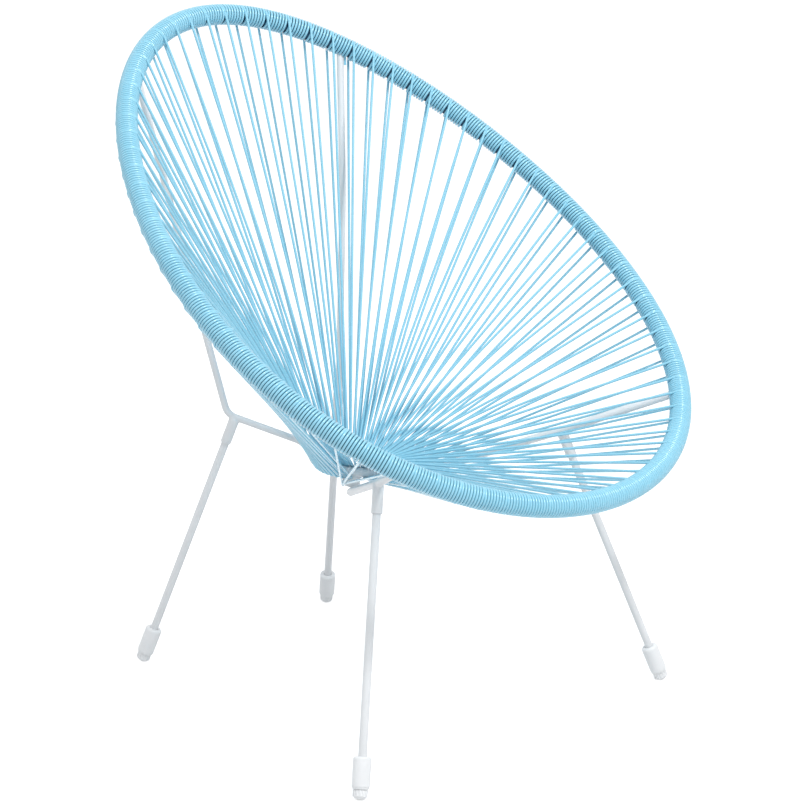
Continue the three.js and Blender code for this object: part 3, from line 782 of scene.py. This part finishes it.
start_editing(glide_master)
select_faces(glide_master, is_flute)
bpy.ops.mesh.inset(thickness=FLUTE_RIB, use_individual=True)
bpy.ops.transform.shrink_fatten(value=-FLUTE_DEPTH)
bpy.ops.object.mode_set(mode="OBJECT")
rounding = glide_master.modifiers.new("moulded edges", "BEVEL")
rounding.width, rounding.segments, rounding.limit_method = MOULDED_ROUND, 2, "ANGLE"
rounding.angle_limit = MOULDED_ANGLE
bpy.ops.object.modifier_apply(modifier=rounding.name)
print("glide:", len(glide_master.data.polygons), "faces")

# %% [markdown]
# ## Sleeves
# The sleeve is a thick plastic bush with a rounded shoulder. Near its lower end the wall draws in over a
# small step. Modifiers could round a plain tube, but they would round all its edges alike, so the
# outline is written down: SLEEVE_FOOT says how far in and how high its lowest points are.

# %% Sleeve
SLEEVE_RADIUS = 0.0108
SLEEVE_LENGTH = 0.038
SLEEVE_FOOT = [
    (0.0016, 0), (0.0011, 0.0004), (0.0007, 0.0022), (0.0007, 0.0026),
    (0.0001, 0.0030), (0, 0.0036), (0, 0.0044),
]
SHOULDER = 0.0032
SHOULDER_STEPS = 8
MOUTH_ROUND = 0.0004
LEG_CLEARANCE = 0.0002
BORE_DEPTH = 0.008
SLEEVE_SIDES = 56
SLEEVE_START = GLIDE_COLLAR + TOUCH_GAP
SLEEVE_TOP = SLEEVE_START + SLEEVE_LENGTH
bore = LEG_RADIUS + LEG_CLEARANCE

profile = [(STUD_RADIUS + TOUCH_GAP, SLEEVE_START)]
profile += [(SLEEVE_RADIUS - inset, SLEEVE_START + height) for inset, height in SLEEVE_FOOT]
for step in range(SHOULDER_STEPS + 1):
    angle = math.radians(90) * step / SHOULDER_STEPS
    profile.append((
        SLEEVE_RADIUS - SHOULDER * (1 - math.cos(angle)), SLEEVE_TOP - SHOULDER * (1 - math.sin(angle))
    ))
profile += [
    (bore + MOUTH_ROUND, SLEEVE_TOP), (bore, SLEEVE_TOP - MOUTH_ROUND), (bore, SLEEVE_TOP - BORE_DEPTH)
]
sleeve_master = thrown(profile, SLEEVE_SIDES)
print("sleeve:", len(sleeve_master.data.polygons), "faces")

# %% [markdown]
# ## Sockets and legs
# The leg plugs into a short tube that is a size larger, so a small step shows where it goes in. The leg
# itself is a plain tube. A leg could be placed by its angles, but it is surer to draw the line from the
# joint on the arm or stay to the foot on the floor and to stand everything on that line.

# %% Leg lines
FRONT_SPREAD = Vector((0.1119, -0.08335, 0))
REAR_SPREAD = Vector((0.0763, 0.1097, 0))
REAR_JOINT_SHARE = 0.1
SOCKET_RADIUS = 0.0068
SOCKET_LENGTH = 0.0365
SOCKET_TOP_CLEARANCE = 0.006

rear_joint = STAY_HEEL.lerp(stay_toe, REAR_JOINT_SHARE)
leg_lines = {}
for end, joint, spread in (("front", arm_joint, FRONT_SPREAD), ("rear", rear_joint, REAR_SPREAD)):
    for side, sign in SIDES.items():
        top = mirrored(sign, joint)
        foot = mirrored(sign, joint + spread)
        foot.z = 0
        axis = (top - foot).normalized()
        lift = (dome_radius - GLIDE_FLAT_DEPTH) / axis.z - (dome_radius - GLIDE_DOME)
        start = foot + lift * axis
        leg_lines[f"{end}_{side}"] = (start, axis, (top - start).length)
print("leg lines:", {name: round(line[2], 4) for name, line in leg_lines.items()})

# %% Socket
SOCKET_BORE_DEPTH = 0.006
SOCKET_MOUTH = 0.0003
SOCKET_EDGE = 0.0005
SOCKET_EDGE_MIDDLE = 0.00015
SOCKET_END_ROUND = 0.0004
SOCKET_SIDES = 44
socket_bore = LEG_RADIUS + TOUCH_GAP
socket_end = SOCKET_LENGTH - SOCKET_TOP_CLEARANCE
profile = [
    (socket_bore, SOCKET_BORE_DEPTH), (socket_bore, SOCKET_MOUTH), (socket_bore + SOCKET_MOUTH, 0),
    (SOCKET_RADIUS - SOCKET_EDGE, 0), (SOCKET_RADIUS - SOCKET_EDGE_MIDDLE, SOCKET_EDGE_MIDDLE),
    (SOCKET_RADIUS, SOCKET_EDGE), (SOCKET_RADIUS, socket_end),
    (SOCKET_RADIUS - SOCKET_END_ROUND, socket_end + SOCKET_END_ROUND),
]
socket_master = thrown(profile, SOCKET_SIDES)
print("socket:", len(socket_master.data.polygons), "faces")

# %% Stand the legs at the four corners
LEG_FOOT_LIFT = 0.0113
LEG_TOP_CLEARANCE = 0.004
LEG_START = SLEEVE_START + LEG_FOOT_LIFT
LEG_TOP_GAP = ARM_RADIUS + LEG_TOP_CLEARANCE
for name, (start, axis, reach) in leg_lines.items():
    socket = stood_at(socket_master, start + (reach - SOCKET_LENGTH) * axis, axis)
    hand_over(socket, f"socket_{name}", "frame", "chair", [f"leg_socket_{name}"])
    leg = bent_rod([start + LEG_START * axis, start + (reach - LEG_TOP_GAP) * axis], [], LEG_RADIUS)
    hand_over(leg, f"leg_tube_{name}", "frame", "chair", [f"leg_{name}"])
    sleeve = stood_at(sleeve_master, start, axis)
    hand_over(sleeve, f"sleeve_{name}", "foot", "chair", [f"foot_sleeve_{name}"])
    glide = stood_at(glide_master, start, axis)
    hand_over(glide, f"screw_glide_{name}", "foot", f"glide_{name}", [f"glide_{name}"])
    start_editing(glide)
    bpy.ops.mesh.select_all(action="SELECT")
    bpy.ops.mesh.bisect(plane_co=(0, 0, 0), plane_no=(0, 0, 1), clear_inner=True, use_fill=True)
    bpy.ops.object.mode_set(mode="OBJECT")
for master in (socket_master, sleeve_master, glide_master):
    bpy.data.objects.remove(master)
print("legs:", len(leg_lines))

# %% [markdown]
# ## Welds
# The coating runs smoothly over each weld, so socket and rod flow into each other. A bead could be
# modelled round the corner. It is simpler to join short lengths of both into one skin with a voxel
# remesh and to smooth it, which rounds the inner corner as a bead does. The skin stands 0.15 mm proud
# of both pieces.

# %% Welds between sockets and rods
WELD_VOXEL = 0.0006
WELD_PROUD = 0.00015
WELD_REACH = 0.013
BEAD_ROUNDS = 14
HEEL_REACH_UP = 1.3 * WELD_REACH
HEEL_REACH_FORWARD = 1.7 * WELD_REACH
PLUG_TOP_GAP = 0.0005
PLUG_ROUND = 0.003


def welded(pieces, name):
    pick(*pieces)
    bpy.ops.object.join()
    skin = bpy.context.active_object
    remesh = skin.modifiers.new("one skin", "REMESH")
    remesh.mode, remesh.voxel_size = "VOXEL", WELD_VOXEL
    bpy.ops.object.modifier_apply(modifier=remesh.name)
    smooth = skin.modifiers.new("bead", "SMOOTH")
    smooth.factor, smooth.iterations = 0.5, BEAD_ROUNDS
    bpy.ops.object.modifier_apply(modifier=smooth.name)
    hand_over(skin, name, "frame", "chair", [])
    return skin


for name, (start, axis, reach) in leg_lines.items():
    end, side = name.split("_")
    sign = SIDES[side]
    if end == "front":
        way = (arm_end - arm_start).normalized()
        line = [arm_joint - WELD_REACH * way, arm_joint, arm_joint + WELD_REACH * way]
        radius, bends = ARM_RADIUS, [ARM_BEND_RADIUS]
    else:
        down, forward = (STAY_HEEL - stay_mid).normalized(), (stay_toe - STAY_HEEL).normalized()
        line = [STAY_HEEL - HEEL_REACH_UP * down, STAY_HEEL, STAY_HEEL + HEEL_REACH_FORWARD * forward]
        radius, bends = STAY_RADIUS, [STAY_BENDS[1]]
    rod = bent_rod([mirrored(sign, point) for point in line], bends, radius + WELD_PROUD)
    plug = bent_rod(
        [start + (reach - WELD_REACH) * axis, start + (reach - PLUG_TOP_GAP) * axis], [],
        SOCKET_RADIUS + WELD_PROUD, end_round=PLUG_ROUND,
    )
    weld = welded([rod, plug], f"weld_{name}")
print("weld:", len(weld.data.polygons), "faces")

# %% [markdown]
# ## The end of the cord
# One end of the cord comes out of the winding beside the left stay and is cut off square. It could be
# drawn on with the winding's last turn. A short piece of the same tube that starts inside the winding
# looks the same, because no joint shows.

# %% Cord end
CORD_END_START = 0.012
CORD_END_TIP = 0.0265
stay_down = (stay_mid - stay_top).normalized()
beside_stay = Vector(hoop_point(hoop_angle(gap_place(STAY_GAP - 1)))) - stay_top
beside_stay -= beside_stay.dot(stay_down) * stay_down
beside_stay = (STAY_RADIUS + TOUCH_GAP + CORD_RADIUS) * beside_stay.normalized()
cord_end = np.array([
    stay_top + beside_stay + drop * stay_down
    for drop in (CORD_END_START, (CORD_END_START + CORD_END_TIP) / 2, CORD_END_TIP)
])
hand_over(
    cords("cord_end_left", [cord_end]), "cord_end_left", "cord", "chair", ["cord_knot_left"],
    smooth_up_to=CORD_SMOOTH_UP_TO,
)
print("cord end:", round(1000 * (CORD_END_TIP - CORD_END_START), 1), "mm")

# %% [markdown]
# ## Stage
# The photograph has a white background with hardly a shadow. More light would make the floor white too,
# but it would wash out the chair. So the camera and the reflections see white in the world, and the
# floor is pale paper that glows a little for them alone. It reaches full white and still darkens where
# the chair shades it. Neither adds light to the chair.

# %% White for the camera
def seen_white(nodes, links, strength):
    """Plain white of this strength, and whether the camera, a reflection or a clear piece looks at it."""
    path = nodes.new("ShaderNodeLightPath")
    white = nodes.new("ShaderNodeEmission")
    white.inputs["Color"].default_value = (1, 1, 1, 1)
    white.inputs["Strength"].default_value = strength
    seen = nodes.new("ShaderNodeMath")
    seen.operation = "MAXIMUM"
    through = nodes.new("ShaderNodeMath")
    through.operation = "MAXIMUM"
    links.new(path.outputs["Is Camera Ray"], seen.inputs[0])
    links.new(path.outputs["Is Glossy Ray"], seen.inputs[1])
    links.new(seen.outputs["Value"], through.inputs[0])
    links.new(path.outputs["Is Transmission Ray"], through.inputs[1])
    return white, through


# %% Floor
FLOOR_GLOW = 0.62
FLOOR_SIZE = 24
PAPER_COLOUR = (0.72, 0.72, 0.72, 1)
pick()
bpy.ops.mesh.primitive_plane_add(size=FLOOR_SIZE, location=(0, 0, 0))
floor = bpy.context.active_object
floor.name = "floor"
paper = bpy.data.materials.new("white_paper")
paper.use_nodes = True
nodes, links = paper.node_tree.nodes, paper.node_tree.links
sheet = nodes["Principled BSDF"]
sheet.inputs["Base Color"].default_value = PAPER_COLOUR
sheet.inputs["Roughness"].default_value = 0.95
sheet.inputs["Specular IOR Level"].default_value = 0.1
glow, seen = seen_white(nodes, links, FLOOR_GLOW)
lit_and_glowing = nodes.new("ShaderNodeAddShader")
links.new(sheet.outputs["BSDF"], lit_and_glowing.inputs[0])
links.new(glow.outputs["Emission"], lit_and_glowing.inputs[1])
choice = nodes.new("ShaderNodeMixShader")
links.new(seen.outputs["Value"], choice.inputs["Fac"])
links.new(sheet.outputs["BSDF"], choice.inputs[1])
links.new(lit_and_glowing.outputs["Shader"], choice.inputs[2])
links.new(choice.outputs["Shader"], nodes["Material Output"].inputs["Surface"])
floor.data.materials.append(paper)
print("floor:", FLOOR_SIZE, "m square")

# %% World
SKY_STRENGTH = 0.69
SKY_COLOUR = (0.94, 0.97, 1, 1)
world = bpy.data.worlds.new("white_room")
bpy.context.scene.world = world
world.use_nodes = True
nodes, links = world.node_tree.nodes, world.node_tree.links
sky = nodes["Background"]
sky.inputs["Color"].default_value = SKY_COLOUR
sky.inputs["Strength"].default_value = SKY_STRENGTH
white, seen = seen_white(nodes, links, 1.0)
choice = nodes.new("ShaderNodeMixShader")
links.new(seen.outputs["Value"], choice.inputs["Fac"])
links.new(sky.outputs["Background"], choice.inputs[1])
links.new(white.outputs["Emission"], choice.inputs[2])
links.new(choice.outputs["Shader"], nodes["World Output"].inputs["Surface"])
print("world:", world.name, "at", SKY_STRENGTH)

# %% [markdown]
# ## Lamps
# The upper faces of the cords have a soft shine, and the white tubes are lit nearly evenly from side to
# side. The world alone would light everything evenly but leave no shine. So the main lamp hangs high in
# front, a broad faint one near the camera keeps the inside of the bowl clear, and a third from behind,
# on the camera's left, gives the rim its light edge. Each row is a lamp's place, power and width.

# %% Three soft lamps
LAMPS = {
    "key_lamp": ((-0.2, -1.7, 3.3), 66, 0.6),
    "front_lamp": ((-2.0, -2.8, 1.6), 9, 1.8),
    "back_lamp": ((-1.8, 2.2, 2.2), 10, 1.2),
}
for name, (place, power, width) in LAMPS.items():
    pick()
    bpy.ops.object.light_add(type="AREA", location=place)
    lamp = bpy.context.active_object
    lamp.name = name
    lamp.rotation_euler = (Vector(place) - LOOKED_AT).to_track_quat("Z", "Y").to_euler()
    lamp.data.energy = power
    lamp.data.size = width
bpy.context.scene.view_settings.view_transform = "Standard"
print("lamps:", len(LAMPS))
